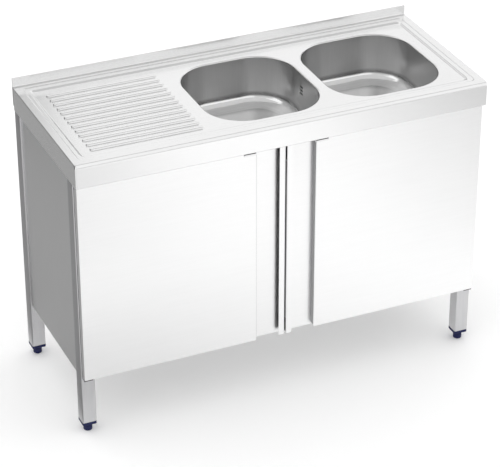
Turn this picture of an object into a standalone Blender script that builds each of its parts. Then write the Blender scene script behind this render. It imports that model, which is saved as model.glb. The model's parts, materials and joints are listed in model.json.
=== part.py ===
import math

import bmesh
import bpy
from mathutils import Matrix

# Worktop pressing, in metres like every size here
TOP_WIDTH = 1.200
TOP_DEPTH = 0.500
RIM_HEIGHT = 0.850
APRON_HEIGHT = 0.068
TOP_SHEET = 0.0012
EDGE_RADIUS = 0.005
CORNER_RADIUS = 0.004
OUTER_STEP_INSET = 0.0175
OUTER_STEP_RUN = 0.003
OUTER_STEP_DROP = 0.002
INNER_STEP_INSET = 0.0335
INNER_STEP_RUN = 0.007
INNER_STEP_DROP = 0.005
STEP_CORNER = 0.014
STEP_SHAPE = ((0.0, 0.0), (0.3, 0.12), (0.7, 0.88), (1.0, 1.0))

# Upstand at the wall and the fold behind the front apron
UPSTAND_HEIGHT = 0.028
UPSTAND_THICK = 0.003
REAR_FLANGE = 0.055
RETURN_FOLD = 0.0135
RETURN_LAP = 0.020

# Drainer ribs
RIB_COUNT = 13
RIB_WIDTH = 0.016
RIB_RISE = 0.004
RIB_START = 0.070
RIB_CLEAR = 0.0445
RIB_MARGIN = 0.081
RIB_SHAPE = ((0.0, 0.0), (0.16, 0.56), (0.56, 1.0))

# Bowls
BOWL_WIDTH = 0.330
BOWL_FRONT = 0.068
BOWL_END = 0.073
BOWL_BRIDGE = 0.0345
BOWL_DEPTH = 0.1475
BOWL_CORNER = 0.112
BOWL_DRAFT = 0.0015
BOWL_SHEET = 0.001
LIP_RADIUS = 0.005
HEEL_RADIUS = 0.011
LEDGE_RUN = 0.024
LEDGE_FALL = 0.004
WELL_RUN = 0.014
WELL_FALL = 0.010
FLOOR_RISE = 0.0205
SEAT_RADIUS = 0.0365
SEAT_DEPTH = 0.0025
DISH_RUN = 0.0085
DISH_FALL = 0.0015
DRAIN_RADIUS = 0.0255

# Overflow between the bowls
OVERFLOW_DROP = 0.050
OVERFLOW_BACK = 0.018
SLOT_LENGTH = 0.012
SLOT_HEIGHT = 0.0036
SLOT_PITCH = 0.010
SLOT_COUNT = 3
DUCT_WALL = 0.002
DUCT_MARGIN = 0.006
SPOUT_RADIUS = 0.008
SPOUT_LENGTH = 0.025

# Wastes
FLANGE_CLEAR = 0.002
FLANGE_RISE = 0.0018
NECK_LENGTH = 0.020
NECK_WALL = 0.0015
STRAINER_DROP = 0.007
STRAINER_THICK = 0.0015
STRAINER_HOLES = 6
STRAINER_HOLE = 0.004
GASKET_THICK = 0.003
NUT_HEIGHT = 0.010
CUP_WALL = 0.004
TAIL_WALL = 0.0018
TAIL_RADIUS = 0.020
TAIL_LENGTH = 0.110

# Legs, plugs and screw feet
LEG_SIZE = 0.040
LEG_WALL = 0.0015
LEG_LIFT = 0.031
FRONT_SET = 0.0325
PLUG_PLATE = 0.007
PLUG_SPIGOT = 0.020
PLUG_EDGE = 0.001
FOOT_RADIUS = 0.0125
FOOT_EDGE = 0.002
FOOT_COLLAR = 0.0095
COLLAR_HEIGHT = 0.005
CONE_HEIGHT = 0.004
STUD_RADIUS = 0.004
STUD_LENGTH = 0.034

# Rails, panels and shelf
SHEET = 0.001
FOLD = 0.015
RAIL_LIFT = 0.004
RAIL_FLANGE = 0.014
PANEL_BOTTOM = 0.170
PANEL_SET = 0.006
BACK_SET = 0.010
OPENING_WIDTH = 0.560
OPENING_HEIGHT = 0.220
OPENING_CORNER = 0.020
OPENING_DROP = 0.030
SHELF_LIFT = 0.006
SHELF_FOLD = 0.024

# Doors
DOOR_BOTTOM = 0.184
DOOR_THICK = 0.018
DOOR_SIDE = 0.005
DOOR_CLEAR = 0.002
DOOR_GAP = 0.005
GRIP_LIP = 0.017
GRIP_CHANNEL = 0.068
GRIP_LAP = 0.022
GRIP_NOTCH = 0.050
SKIN_NOTCH_WIDTH = 0.036
SKIN_NOTCH_DROP = 0.008

# Hinges, catches and bumpers
PIN_RADIUS = 0.0025
BUSH_WALL = 0.001
BUSH_LENGTH = 0.012
BUSH_WEB = 0.0008
PLATE_THICK = 0.003
PLATE_WIDTH = 0.024
PLATE_LAP = 0.005
PLATE_EDGE = 0.0005
CATCH_AT = 0.045
CATCH_WIDTH = 0.040
CATCH_HEIGHT = 0.022
CATCH_DEPTH = 0.020
CATCH_EDGE = 0.001
STRIKE_WIDTH = 0.032
STRIKE_HEIGHT = 0.013
STRIKE_THICK = 0.0015
BUMPER_RADIUS = 0.006
BUMPER_TIP = 0.0048

# Clearances and bends
SEAM = 0.0003
RUNNING = 0.0001
BEND = 0.0015
OVERCUT = 0.010

# Places that follow from the sizes above
APRON_BOTTOM = RIM_HEIGHT - APRON_HEIGHT
LEDGE = RIM_HEIGHT - OUTER_STEP_DROP
DECK = LEDGE - INNER_STEP_DROP
TOP_FRONT = -TOP_DEPTH / 2
TOP_BACK = TOP_DEPTH / 2 - UPSTAND_THICK / 2 - SEAM
BOWL_LENGTH = TOP_DEPTH - 2 * BOWL_FRONT
RIGHT_BOWL_X = TOP_WIDTH / 2 - BOWL_END - BOWL_WIDTH / 2
LEFT_BOWL_X = RIGHT_BOWL_X - BOWL_WIDTH - BOWL_BRIDGE
KNEE_DROP = BOWL_DEPTH - FLOOR_RISE - HEEL_RADIUS
SEAT_Z = DECK - BOWL_DEPTH - SEAT_DEPTH
NECK_RADIUS = DRAIN_RADIUS - 2 * SEAM
NECK_BORE = NECK_RADIUS - NECK_WALL
LEG_X = TOP_WIDTH / 2 - TOP_SHEET - SEAM
LEG_INNER = LEG_X - LEG_SIZE
LEG_TOP = DECK - TOP_SHEET - SEAM
LEG_FRONT = TOP_FRONT + FRONT_SET
LEG_BACK = TOP_BACK - TOP_SHEET - SEAM
PANEL_X = LEG_X - PANEL_SET
PANEL_FRONT = LEG_FRONT + LEG_SIZE + SEAM
PANEL_BACK = LEG_BACK - LEG_SIZE - SEAM
BACK_Y = TOP_DEPTH / 2 - BACK_SET
RAIL_TOP = LEG_TOP - BEND
RAIL_BOTTOM = APRON_BOTTOM + RAIL_LIFT
SHELF_TOP = PANEL_BOTTOM + SHELF_LIFT + SHELF_FOLD
DOOR_REAR = LEG_FRONT - DOOR_CLEAR
DOOR_FRONT = DOOR_REAR - DOOR_THICK
DOOR_TOP = APRON_BOTTOM - PLATE_THICK - 5 * SEAM
DOOR_OUTER = TOP_WIDTH / 2 - DOOR_SIDE
DOOR_INNER = DOOR_GAP / 2
SKIN_INNER = DOOR_INNER + GRIP_LIP + GRIP_CHANNEL
GRIP_START = SKIN_INNER + GRIP_LAP
BUSH_RADIUS = PIN_RADIUS + RUNNING + BUSH_WALL
PIVOT_X = DOOR_OUTER - SHEET - BUSH_WEB - BUSH_RADIUS
PIVOT_Y = (DOOR_FRONT + DOOR_REAR) / 2
LINER_FOLD = DOOR_THICK / 2 - BUSH_RADIUS - 3 * SEAM

SIDES = (("left", -1), ("right", 1))
PLANES = {
    "XY": Matrix.Identity(4),
    "XZ": Matrix(((1, 0, 0, 0), (0, 0, -1, 0), (0, 1, 0, 0), (0, 0, 0, 1))),
    "YZ": Matrix(((0, 0, 1, 0), (1, 0, 0, 0), (0, 1, 0, 0), (0, 0, 0, 1))),
}


def clear_scene():
    for old in list(bpy.data.objects):
        bpy.data.objects.remove(old, do_unlink=True)


def new_collection(name):
    group = bpy.data.collections.new(name)
    bpy.context.scene.collection.children.link(group)
    return group


def new_material(name, colour, roughness, metallic):
    made = bpy.data.materials.new(name)
    made.use_nodes = True
    shader = made.node_tree.nodes["Principled BSDF"]
    shader.inputs["Base Color"].default_value = (*colour, 1.0)
    shader.inputs["Roughness"].default_value = roughness
    shader.inputs["Metallic"].default_value = metallic
    return made


clear_scene()
PARTS = new_collection("Sink cabinet")
CUTTERS = new_collection("Cutters")
TOP_STEEL = new_material("satin steel top", (0.80, 0.81, 0.82), 0.30, 1.0)
BOWL_STEEL = new_material("brushed steel bowl", (0.66, 0.67, 0.68), 0.26, 1.0)
LEG_STEEL = new_material("satin steel tube", (0.60, 0.61, 0.63), 0.34, 1.0)
PANEL_STEEL = new_material("satin steel sheet", (0.72, 0.73, 0.74), 0.32, 1.0)
DOOR_STEEL = new_material("satin steel door", (0.80, 0.81, 0.82), 0.30, 1.0)
PIN_STEEL = new_material("turned steel", (0.62, 0.62, 0.63), 0.25, 1.0)
NAVY = new_material("navy plastic", (0.012, 0.018, 0.075), 0.45, 0.0)
WHITE = new_material("white plastic", (0.82, 0.82, 0.80), 0.45, 0.0)
BLACK = new_material("black rubber", (0.02, 0.02, 0.02), 0.80, 0.0)
NYLON = new_material("grey nylon", (0.35, 0.35, 0.36), 0.50, 0.0)


def finish(name, bm, material):
    """Link the mesh as a piece, or as a hidden cutter when it has no material."""
    mesh = bpy.data.meshes.new(name)
    bm.to_mesh(mesh)
    bm.free()
    mesh.shade_smooth()
    mesh.set_sharp_from_angle(angle=math.radians(35))
    made = bpy.data.objects.new(name, mesh)
    if material is None:
        CUTTERS.objects.link(made)
        made.hide_render = True
        made.display_type = "WIRE"
    else:
        PARTS.objects.link(made)
        mesh.materials.append(material)
    return made


def solidify(made, thickness, offset=-1.0):
    shell = made.modifiers.new("sheet", "SOLIDIFY")
    shell.thickness = thickness
    shell.offset = offset
    shell.use_even_offset = True
    shell.use_quality_normals = True
    return made


def bevel(made, width, segments):
    soft = made.modifiers.new("bend", "BEVEL")
    soft.width = width
    soft.segments = segments
    soft.limit_method = "ANGLE"
    soft.angle_limit = math.radians(40)
    return made


def boolean(made, tool, operation="DIFFERENCE"):
    cut = made.modifiers.new("cut", "BOOLEAN")
    cut.operation = operation
    cut.solver = "EXACT"
    cut.object = tool
    return made


def repeat(tool, count, step):
    copies = tool.modifiers.new("copies", "ARRAY")
    copies.count = count
    copies.use_relative_offset = False
    copies.use_constant_offset = True
    copies.constant_offset_displace = step
    return tool


def box(name, low, high, material=None, edge=0.0):
    bm = bmesh.new()
    bmesh.ops.create_cube(bm, size=1.0)
    bmesh.ops.scale(bm, vec=[b - a for a, b in zip(low, high)], verts=bm.verts)
    bmesh.ops.translate(bm, vec=[(a + b) / 2 for a, b in zip(low, high)], verts=bm.verts)
    made = finish(name, bm, material)
    return bevel(made, edge, 1) if edge else made


def rods(name, places, low, high, radius, material=None, sides=12):
    """Upright round bars, as one object, each standing at one of the places."""
    bm = bmesh.new()
    for x, y in places:
        spot = Matrix.Translation((x, y, (low + high) / 2))
        bmesh.ops.create_cone(
            bm, cap_ends=True, segments=sides, radius1=radius, radius2=radius, depth=high - low, matrix=spot
        )
    return finish(name, bm, material)


def turned(name, profile, x, y, material, closed, steps=12):
    """A profile of (radius, height), down its outer side, turned about the upright line through x, y."""
    bm = bmesh.new()
    dots = [bm.verts.new((radius, 0.0, z)) for radius, z in profile]
    ends = list(zip(dots, dots[1:]))
    if closed:
        ends.append((dots[-1], dots[0]))
    for pair in ends:
        bm.edges.new(pair)
    made = finish(name, bm, material)
    made.location = (x, y, 0.0)
    screw = made.modifiers.new("turn", "SCREW")
    screw.axis = "Z"
    screw.angle = 2 * math.pi
    screw.steps = steps
    screw.render_steps = steps
    screw.use_merge_vertices = True
    screw.merge_threshold = 0.00002
    return made


def curve_mesh(name, outlines, length, fill):
    curve = bpy.data.curves.new(name, "CURVE")
    curve.dimensions = "2D"
    curve.fill_mode = fill
    curve.extrude = length / 2
    for outline in outlines:
        spline = curve.splines.new("POLY")
        spline.points.add(len(outline) - 1)
        spline.use_cyclic_u = fill != "NONE"
        for dot, (u, v) in zip(spline.points, outline):
            dot.co = (u, v, 0.0, 1.0)
    holder = bpy.data.objects.new(name, curve)
    PARTS.objects.link(holder)
    ready = holder.evaluated_get(bpy.context.evaluated_depsgraph_get())
    mesh = bpy.data.meshes.new_from_object(ready)
    bpy.data.objects.remove(holder, do_unlink=True)
    bpy.data.curves.remove(curve)
    bm = bmesh.new()
    bm.from_mesh(mesh)
    bpy.data.meshes.remove(mesh)
    bmesh.ops.remove_doubles(bm, verts=bm.verts, dist=0.00001)
    return bm


def prism(name, outlines, low, high, plane, material=None):
    bm = curve_mesh(name, outlines, high - low, "BOTH")
    bmesh.ops.translate(bm, vec=(0, 0, (low + high) / 2), verts=bm.verts)
    bmesh.ops.recalc_face_normals(bm, faces=bm.faces)
    bm.transform(PLANES[plane])
    return finish(name, bm, material)


def folded(name, path, low, high, plane, material):
    """A strip of sheet bent along the path, which lies in the middle of the sheet."""
    bm = curve_mesh(name, [filleted(path, BEND)], high - low, "NONE")
    bmesh.ops.translate(bm, vec=(0, 0, (low + high) / 2), verts=bm.verts)
    bm.transform(PLANES[plane])
    return solidify(finish(name, bm, material), SHEET, 0.0)


def tray(name, outline, face_at, depth, plane, material):
    """A sheet cut to the outline with all its edges folded over by the depth."""
    bm = bmesh.new()
    front = ring(bm, outline, face_at)
    loft(bm, [front, ring(bm, outline, face_at + depth)])
    face = bm.faces.new(front)
    bmesh.ops.recalc_face_normals(bm, faces=bm.faces)
    face.normal_update()
    if face.normal.z * depth > 0:
        bmesh.ops.reverse_faces(bm, faces=bm.faces)
    bm.transform(PLANES[plane])
    return solidify(bevel(finish(name, bm, material), BEND, 2), SHEET)


def filleted(points, radius, steps=3):
    path = [points[0]]
    for before, corner, after in zip(points, points[1:], points[2:]):
        back = radius / math.dist(before, corner)
        ahead = radius / math.dist(corner, after)
        start = [c + (b - c) * back for b, c in zip(before, corner)]
        stop = [c + (a - c) * ahead for a, c in zip(after, corner)]
        for i in range(steps + 1):
            t = i / steps
            weights = ((1 - t) ** 2, 2 * t * (1 - t), t * t)
            path.append(tuple(sum(w * p for w, p in zip(weights, trio)) for trio in zip(start, corner, stop)))
    path.append(points[-1])
    return path


def rectangle(u0, u1, v0, v1):
    return [(u0, v0), (u1, v0), (u1, v1), (u0, v1)]


def rounded_loop(cx, cy, half_x, half_y, radius, steps):
    points = []
    for turn, (sx, sy) in enumerate(((1, 1), (-1, 1), (-1, -1), (1, -1))):
        for i in range(steps + 1):
            angle = math.pi / 2 * (turn + i / steps)
            x = cx + sx * (half_x - radius) + radius * math.cos(angle)
            y = cy + sy * (half_y - radius) + radius * math.sin(angle)
            points.append((x, y))
    return points


def circle_loop(cx, cy, radius, count):
    angles = [2 * math.pi * (i + 0.5) / count for i in range(count)]
    return [(cx + radius * math.cos(a), cy + radius * math.sin(a)) for a in angles]


def stadium_loop(x0, x1, y, radius, steps):
    points = []
    for centre, first in ((x1 - radius, -math.pi / 2), (x0 + radius, math.pi / 2)):
        for i in range(steps + 1):
            angle = first + math.pi * i / steps
            points.append((centre + radius * math.cos(angle), y + radius * math.sin(angle)))
    return points


def ring(bm, loop, z):
    return [bm.verts.new((x, y, z)) for x, y in loop]


def loft(bm, rings):
    for lower, upper in zip(rings, rings[1:]):
        for i in range(len(lower)):
            j = (i + 1) % len(lower)
            bm.faces.new((lower[i], lower[j], upper[j], upper[i]))


def ring_edges(bm, verts):
    pairs = zip(verts, verts[1:] + verts[:1])
    return [bm.edges.get(pair) or bm.edges.new(pair) for pair in pairs]


def face_up(bm, chosen):
    """Turn a whole open sheet so that the chosen face looks up."""
    bmesh.ops.recalc_face_normals(bm, faces=bm.faces)
    if chosen.normal.z < 0:
        bmesh.ops.reverse_faces(bm, faces=bm.faces)


def face_height(face):
    return face.calc_center_median().z


def top_loop(inset, radius):
    half_y = (TOP_BACK - TOP_FRONT) / 2 - inset
    return rounded_loop(0, (TOP_BACK + TOP_FRONT) / 2, TOP_WIDTH / 2 - inset, half_y, radius, 4)


def top_levels():
    levels = [(0.0, APRON_BOTTOM, CORNER_RADIUS)]
    for i in range(4):
        angle = math.pi / 6 * i
        inset = EDGE_RADIUS * (1 - math.cos(angle))
        levels.append((inset, RIM_HEIGHT - EDGE_RADIUS * (1 - math.sin(angle)), CORNER_RADIUS + inset))
    for u, v in STEP_SHAPE:
        inset = OUTER_STEP_INSET + OUTER_STEP_RUN * u
        levels.append((inset, RIM_HEIGHT - OUTER_STEP_DROP * v, STEP_CORNER))
    for u, v in STEP_SHAPE:
        inset = INNER_STEP_INSET + INNER_STEP_RUN * u
        levels.append((inset, LEDGE - INNER_STEP_DROP * v, STEP_CORNER))
    return levels


def rib_rings(bm, y):
    x0 = -TOP_WIDTH / 2 + RIB_START
    x1 = LEFT_BOWL_X - BOWL_WIDTH / 2 - RIB_CLEAR
    half = RIB_WIDTH / 2
    rings = []
    for inward, up in RIB_SHAPE:
        loop = stadium_loop(x0 + half * inward, x1 - half * inward, y, half * (1 - inward), 4)
        rings.append(ring(bm, loop, DECK + RIB_RISE * up))
    return rings


def make_worktop():
    bm = bmesh.new()
    rings = [ring(bm, top_loop(inset, radius), z) for inset, z, radius in top_levels()]
    loft(bm, rings)
    edges = ring_edges(bm, rings[-1])
    pitch = (TOP_DEPTH - 2 * RIB_MARGIN) / (RIB_COUNT - 1)
    for i in range(RIB_COUNT):
        rib = rib_rings(bm, (i - (RIB_COUNT - 1) / 2) * pitch)
        loft(bm, rib)
        bm.faces.new(rib[-1])
        edges += ring_edges(bm, rib[0])
    for x in (LEFT_BOWL_X, RIGHT_BOWL_X):
        edges += ring_edges(bm, ring(bm, bowl_loop(x, -SEAM), DECK))
    bmesh.ops.triangle_fill(bm, use_beauty=True, use_dissolve=False, edges=edges)
    face_up(bm, max(bm.faces, key=face_height))
    solidify(finish("worktop", bm, TOP_STEEL), TOP_SHEET)


def make_upstand():
    back = TOP_DEPTH / 2
    front = back - UPSTAND_THICK
    middle = back - UPSTAND_THICK / 2
    crown = UPSTAND_THICK / 2
    head = RIM_HEIGHT + UPSTAND_HEIGHT - crown
    foot = RIM_HEIGHT + SEAM
    arc = [math.pi / 4 * i for i in range(5)]
    outline = [(middle, RIM_HEIGHT - REAR_FLANGE), (back, RIM_HEIGHT - REAR_FLANGE)]
    outline += [(middle + crown * math.cos(a), head + crown * math.sin(a)) for a in arc]
    outline += [(front, foot), (middle, foot)]
    prism("upstand", [outline], -TOP_WIDTH / 2, TOP_WIDTH / 2, "YZ", TOP_STEEL)


def make_apron_return():
    front = TOP_FRONT + TOP_SHEET + SEAM + SHEET / 2
    level = APRON_BOTTOM + SHEET / 2
    path = [(front, level + RETURN_LAP), (front, level), (front + RETURN_FOLD, level)]
    half = LEG_X - CORNER_RADIUS
    folded("apron_return", path, -half, half, "YZ", TOP_STEEL)


def bowl_loop(x, inset):
    half_x = BOWL_WIDTH / 2 + LIP_RADIUS - inset
    half_y = BOWL_LENGTH / 2 + LIP_RADIUS - inset
    return rounded_loop(x, 0, half_x, half_y, BOWL_CORNER + LIP_RADIUS - inset, 6)


def bowl_levels():
    """Inset from the lip's outer line and drop below the deck, from the lip to the edge of the well."""
    levels = []
    for i in range(4):
        angle = math.pi / 6 * i
        levels.append((LIP_RADIUS * math.sin(angle), LIP_RADIUS * (1 - math.cos(angle))))
    wall = LIP_RADIUS + BOWL_DRAFT
    for i in range(4):
        angle = math.radians(27) * i
        levels.append((wall + HEEL_RADIUS * (1 - math.cos(angle)), KNEE_DROP + HEEL_RADIUS * math.sin(angle)))
    inset, drop = levels[-1]
    inset += LEDGE_RUN
    drop += LEDGE_FALL
    for run, fall in ((0.0, 0.0), (0.36, 0.25), (0.64, 0.75), (1.0, 1.0)):
        levels.append((inset + WELL_RUN * run, drop + WELL_FALL * fall))
    return levels


def wall_inset(drop):
    return BOWL_DRAFT * (drop - LIP_RADIUS) / (KNEE_DROP - LIP_RADIUS)


def make_bowl(side, x, toward):
    bm = bmesh.new()
    rings = [ring(bm, bowl_loop(x, inset), DECK - drop) for inset, drop in bowl_levels()]
    floor = DECK - BOWL_DEPTH
    dish = (
        (SEAT_RADIUS + DISH_RUN, floor + DISH_FALL),
        (SEAT_RADIUS + SEAM, floor),
        (SEAT_RADIUS, SEAT_Z),
        (DRAIN_RADIUS, SEAT_Z),
    )
    for radius, z in dish:
        rings.append(ring(bm, circle_loop(x, 0, radius, len(rings[0])), z))
    loft(bm, rings)
    face_up(bm, min(bm.faces, key=face_height))
    made = solidify(finish(f"bowl_{side}", bm, BOWL_STEEL), BOWL_SHEET)
    wall = x + toward * BOWL_WIDTH / 2
    lowest = DECK - OVERFLOW_DROP - SLOT_PITCH * (SLOT_COUNT - 1) / 2
    low = (wall - OVERCUT, OVERFLOW_BACK - SLOT_LENGTH / 2, lowest - SLOT_HEIGHT / 2)
    high = (wall + OVERCUT, OVERFLOW_BACK + SLOT_LENGTH / 2, lowest + SLOT_HEIGHT / 2)
    slots = box(f"overflow_slots_{side}", low, high)
    boolean(made, repeat(slots, SLOT_COUNT, (0, 0, SLOT_PITCH)))


def make_overflow_duct():
    """A duct that leans with the two bowl walls it joins, with a spout below."""
    wall = BOWL_WIDTH / 2 + BOWL_SHEET + SEAM
    low = LEFT_BOWL_X + wall
    high = RIGHT_BOWL_X - wall
    middle = (low + high) / 2
    level = DECK - OVERFLOW_DROP
    half_y = SLOT_LENGTH / 2 + DUCT_MARGIN
    half_z = SLOT_PITCH * (SLOT_COUNT - 1) / 2 + DUCT_MARGIN
    inner = rectangle(OVERFLOW_BACK - half_y, OVERFLOW_BACK + half_y, level - half_z, level + half_z)
    half_y += DUCT_WALL
    half_z += DUCT_WALL
    outer = rectangle(OVERFLOW_BACK - half_y, OVERFLOW_BACK + half_y, level - half_z, level + half_z)
    made = prism("overflow_duct", [outer, inner], low, high, "YZ", WHITE)
    for dot in made.data.vertices:
        dot.co.x += math.copysign(wall_inset(DECK - dot.co.z), dot.co.x - middle)
    place = [(middle, OVERFLOW_BACK)]
    foot = level - half_z
    spout = rods("overflow_spout", place, foot - SPOUT_LENGTH, foot + DUCT_WALL / 2, SPOUT_RADIUS)
    bore = rods(
        "overflow_bore", place, foot - SPOUT_LENGTH - OVERCUT, foot + 2 * DUCT_WALL, SPOUT_RADIUS - DUCT_WALL
    )
    boolean(made, spout, "UNION")
    boolean(made, bore)


def make_waste(side, x):
    seat = SEAT_Z + SEAM
    rim = SEAT_RADIUS - FLANGE_CLEAR
    flange = [
        (NECK_BORE, seat + FLANGE_RISE),
        (rim - FLANGE_RISE, seat + FLANGE_RISE),
        (rim, seat),
        (NECK_RADIUS, seat),
        (NECK_RADIUS, seat - NECK_LENGTH),
        (NECK_BORE, seat - NECK_LENGTH),
    ]
    turned(f"waste_flange_{side}", flange, x, 0, BOWL_STEEL, True, 20)
    make_strainer(side, x, seat - STRAINER_DROP)
    hole = NECK_RADIUS + SEAM
    top = SEAT_Z - BOWL_SHEET - SEAM
    low = top - GASKET_THICK
    gasket = [(hole, top), (rim, top), (rim, low), (hole, low)]
    turned(f"waste_gasket_{side}", gasket, x, 0, BLACK, True, 20)
    top = low - SEAM
    shoulder = seat - NECK_LENGTH - SEAM
    tail = [
        (hole, top),
        (rim, top),
        (rim, top - NUT_HEIGHT),
        (hole + CUP_WALL, top - NUT_HEIGHT - CUP_WALL / 2),
        (hole + CUP_WALL, shoulder),
        (TAIL_RADIUS, shoulder - 2 * CUP_WALL),
        (TAIL_RADIUS, shoulder - TAIL_LENGTH),
        (TAIL_RADIUS - TAIL_WALL, shoulder - TAIL_LENGTH),
        (TAIL_RADIUS - TAIL_WALL, shoulder - CUP_WALL),
        (hole, shoulder),
    ]
    turned(f"waste_tail_{side}", tail, x, 0, WHITE, True, 20)


def make_strainer(side, x, top):
    low = top - STRAINER_THICK
    disc = rods(f"waste_strainer_{side}", [(x, 0)], low, top, NECK_BORE - SEAM, BOWL_STEEL, 20)
    circle = NECK_BORE / 2
    angles = [2 * math.pi * i / STRAINER_HOLES for i in range(STRAINER_HOLES)]
    places = [(x, 0)] + [(x + circle * math.cos(a), circle * math.sin(a)) for a in angles]
    holes = rods(f"strainer_holes_{side}", places, low - OVERCUT, top + OVERCUT, STRAINER_HOLE, sides=8)
    boolean(disc, holes)


def make_leg(name, x, y):
    half = LEG_SIZE / 2
    hollow = half - LEG_WALL
    outer = rounded_loop(x, y, half, half, 2 * LEG_WALL, 3)
    inner = rounded_loop(x, y, hollow, hollow, LEG_WALL, 3)
    prism(f"leg_{name}", [outer, inner], LEG_LIFT, LEG_TOP, "XY", LEG_STEEL)
    top = LEG_LIFT - SEAM
    low = top - PLUG_PLATE
    plug = box(f"plug_{name}", (x - half, y - half, low), (x + half, y + half, top), NAVY, PLUG_EDGE)
    core = rounded_loop(x, y, hollow - SEAM, hollow - SEAM, 2 * LEG_WALL, 3)
    spigot = prism(f"spigot_{name}", [core], top - PLUG_PLATE / 2, top + PLUG_SPIGOT, "XY")
    bore = STUD_RADIUS + RUNNING
    thread = rods(f"thread_{name}", [(x, y)], low - OVERCUT, top + 2 * PLUG_SPIGOT, bore, sides=16)
    boolean(plug, spigot, "UNION")
    boolean(plug, thread)
    make_foot(name, x, y, low - SEAM)


def make_foot(name, x, y, seat):
    knob = [
        (0, seat + STUD_LENGTH),
        (STUD_RADIUS, seat + STUD_LENGTH),
        (STUD_RADIUS, seat),
        (FOOT_COLLAR, seat),
        (FOOT_COLLAR, seat - COLLAR_HEIGHT),
        (FOOT_RADIUS, seat - COLLAR_HEIGHT - CONE_HEIGHT),
        (FOOT_RADIUS, FOOT_EDGE),
        (FOOT_RADIUS - FOOT_EDGE, 0),
        (0, 0),
    ]
    turned(f"foot_{name}", knob, x, y, NAVY, False, 16)


def make_legs():
    for row, y in (("front", LEG_FRONT + LEG_SIZE / 2), ("rear", LEG_BACK - LEG_SIZE / 2)):
        for side, sign in SIDES:
            make_leg(f"{row}_{side}", sign * (LEG_X - LEG_SIZE / 2), y)


def make_rails():
    half = LEG_INNER - SEAM
    for row, web, way in (("front", LEG_FRONT, 1), ("rear", LEG_BACK, -1)):
        y0 = web + way * (SHEET / 2 + 2 * SEAM)
        y1 = y0 + way * RAIL_FLANGE
        path = [(y1, RAIL_BOTTOM), (y0, RAIL_BOTTOM), (y0, RAIL_TOP), (y1, RAIL_TOP)]
        folded(f"rail_{row}", path, -half, half, "YZ", PANEL_STEEL)


def make_side_panels():
    outline = rectangle(PANEL_FRONT, PANEL_BACK, PANEL_BOTTOM, RAIL_TOP)
    for side, sign in SIDES:
        tray(f"side_panel_{side}", outline, sign * PANEL_X, -sign * FOLD, "YZ", PANEL_STEEL)


def make_back_panel():
    half = LEG_INNER - SEAM
    top = RAIL_BOTTOM - SHEET
    panel = tray("back_panel", rectangle(-half, half, PANEL_BOTTOM, top), -BACK_Y, FOLD, "XZ", PANEL_STEEL)
    centre = (LEFT_BOWL_X + RIGHT_BOWL_X) / 2
    middle = top - OPENING_DROP - OPENING_HEIGHT / 2
    outline = rounded_loop(centre, middle, OPENING_WIDTH / 2, OPENING_HEIGHT / 2, OPENING_CORNER, 4)
    opening = prism("service_opening", [outline], -BACK_Y - OVERCUT, -BACK_Y + OVERCUT, "XZ")
    boolean(panel, opening)


def make_bottom_shelf():
    """A shelf notched round the four legs, which reaches into the folds of the side panels."""
    wing = PANEL_X - SHEET - SEAM
    core = LEG_INNER - SEAM
    front = LEG_FRONT + SEAM
    back = BACK_Y - FOLD - SEAM
    y0 = PANEL_FRONT + SHEET + SEAM
    y1 = PANEL_BACK - SHEET - SEAM
    right = [(core, front), (core, y0), (wing, y0), (wing, y1), (core, y1), (core, back)]
    left = [(-x, y) for x, y in reversed(right)]
    tray("bottom_shelf", right + left, SHELF_TOP, -SHELF_FOLD, "XY", PANEL_STEEL)


def notched_outline(sign, inner, outer, inset):
    """A door sheet with its upper inner corner cut out for the grip strip."""
    low = DOOR_BOTTOM + inset
    top = DOOR_TOP - inset
    notch = SKIN_INNER + SKIN_NOTCH_WIDTH + inset
    step = top - SKIN_NOTCH_DROP
    points = [(inner, low), (outer, low), (outer, top), (notch, top), (notch, step), (inner, step)]
    return [(sign * u, v) for u, v in points]


def make_grip(side, sign):
    """One strip: the channel's floor, the return at the meeting edge and the lip to pull on."""
    floor = DOOR_REAR - SHEET / 2
    edge = DOOR_INNER + SHEET / 2
    face = DOOR_FRONT + SHEET / 2
    points = [(GRIP_START, floor), (edge, floor), (edge, face), (DOOR_INNER + GRIP_LIP, face)]
    path = [(sign * x, y) for x, y in points]
    made = folded(f"door_grip_{side}", path, DOOR_BOTTOM, DOOR_TOP, "XY", DOOR_STEEL)
    reach = 2 * BEND
    x0, x1 = sorted((sign * (DOOR_INNER - reach), sign * (DOOR_INNER + reach)))
    low = (x0, DOOR_FRONT + reach, DOOR_BOTTOM - OVERCUT)
    high = (x1, DOOR_REAR - reach, DOOR_BOTTOM + GRIP_NOTCH)
    notch = box(f"grip_notch_{side}", low, high)
    rise = DOOR_TOP - DOOR_BOTTOM - GRIP_NOTCH + OVERCUT
    return boolean(made, repeat(notch, 2, (0, 0, rise)))


def make_strike(side, sign):
    top = DOOR_TOP - SEAM
    x0, x1 = sorted((sign * (CATCH_AT - STRIKE_WIDTH / 2), sign * (CATCH_AT + STRIKE_WIDTH / 2)))
    low = (x0, DOOR_REAR + SEAM, top - STRIKE_HEIGHT)
    high = (x1, DOOR_REAR + STRIKE_THICK, top)
    return box(f"strike_{side}", low, high, PIN_STEEL, SEAM)


def make_catch(side, sign):
    top = RAIL_BOTTOM - SHEET / 2 - SEAM
    face = DOOR_REAR + STRIKE_THICK + SEAM
    x0, x1 = sorted((sign * (CATCH_AT - CATCH_WIDTH / 2), sign * (CATCH_AT + CATCH_WIDTH / 2)))
    low = (x0, face, top - CATCH_HEIGHT)
    high = (x1, face + CATCH_DEPTH, top)
    box(f"catch_{side}", low, high, WHITE, CATCH_EDGE)


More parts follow.
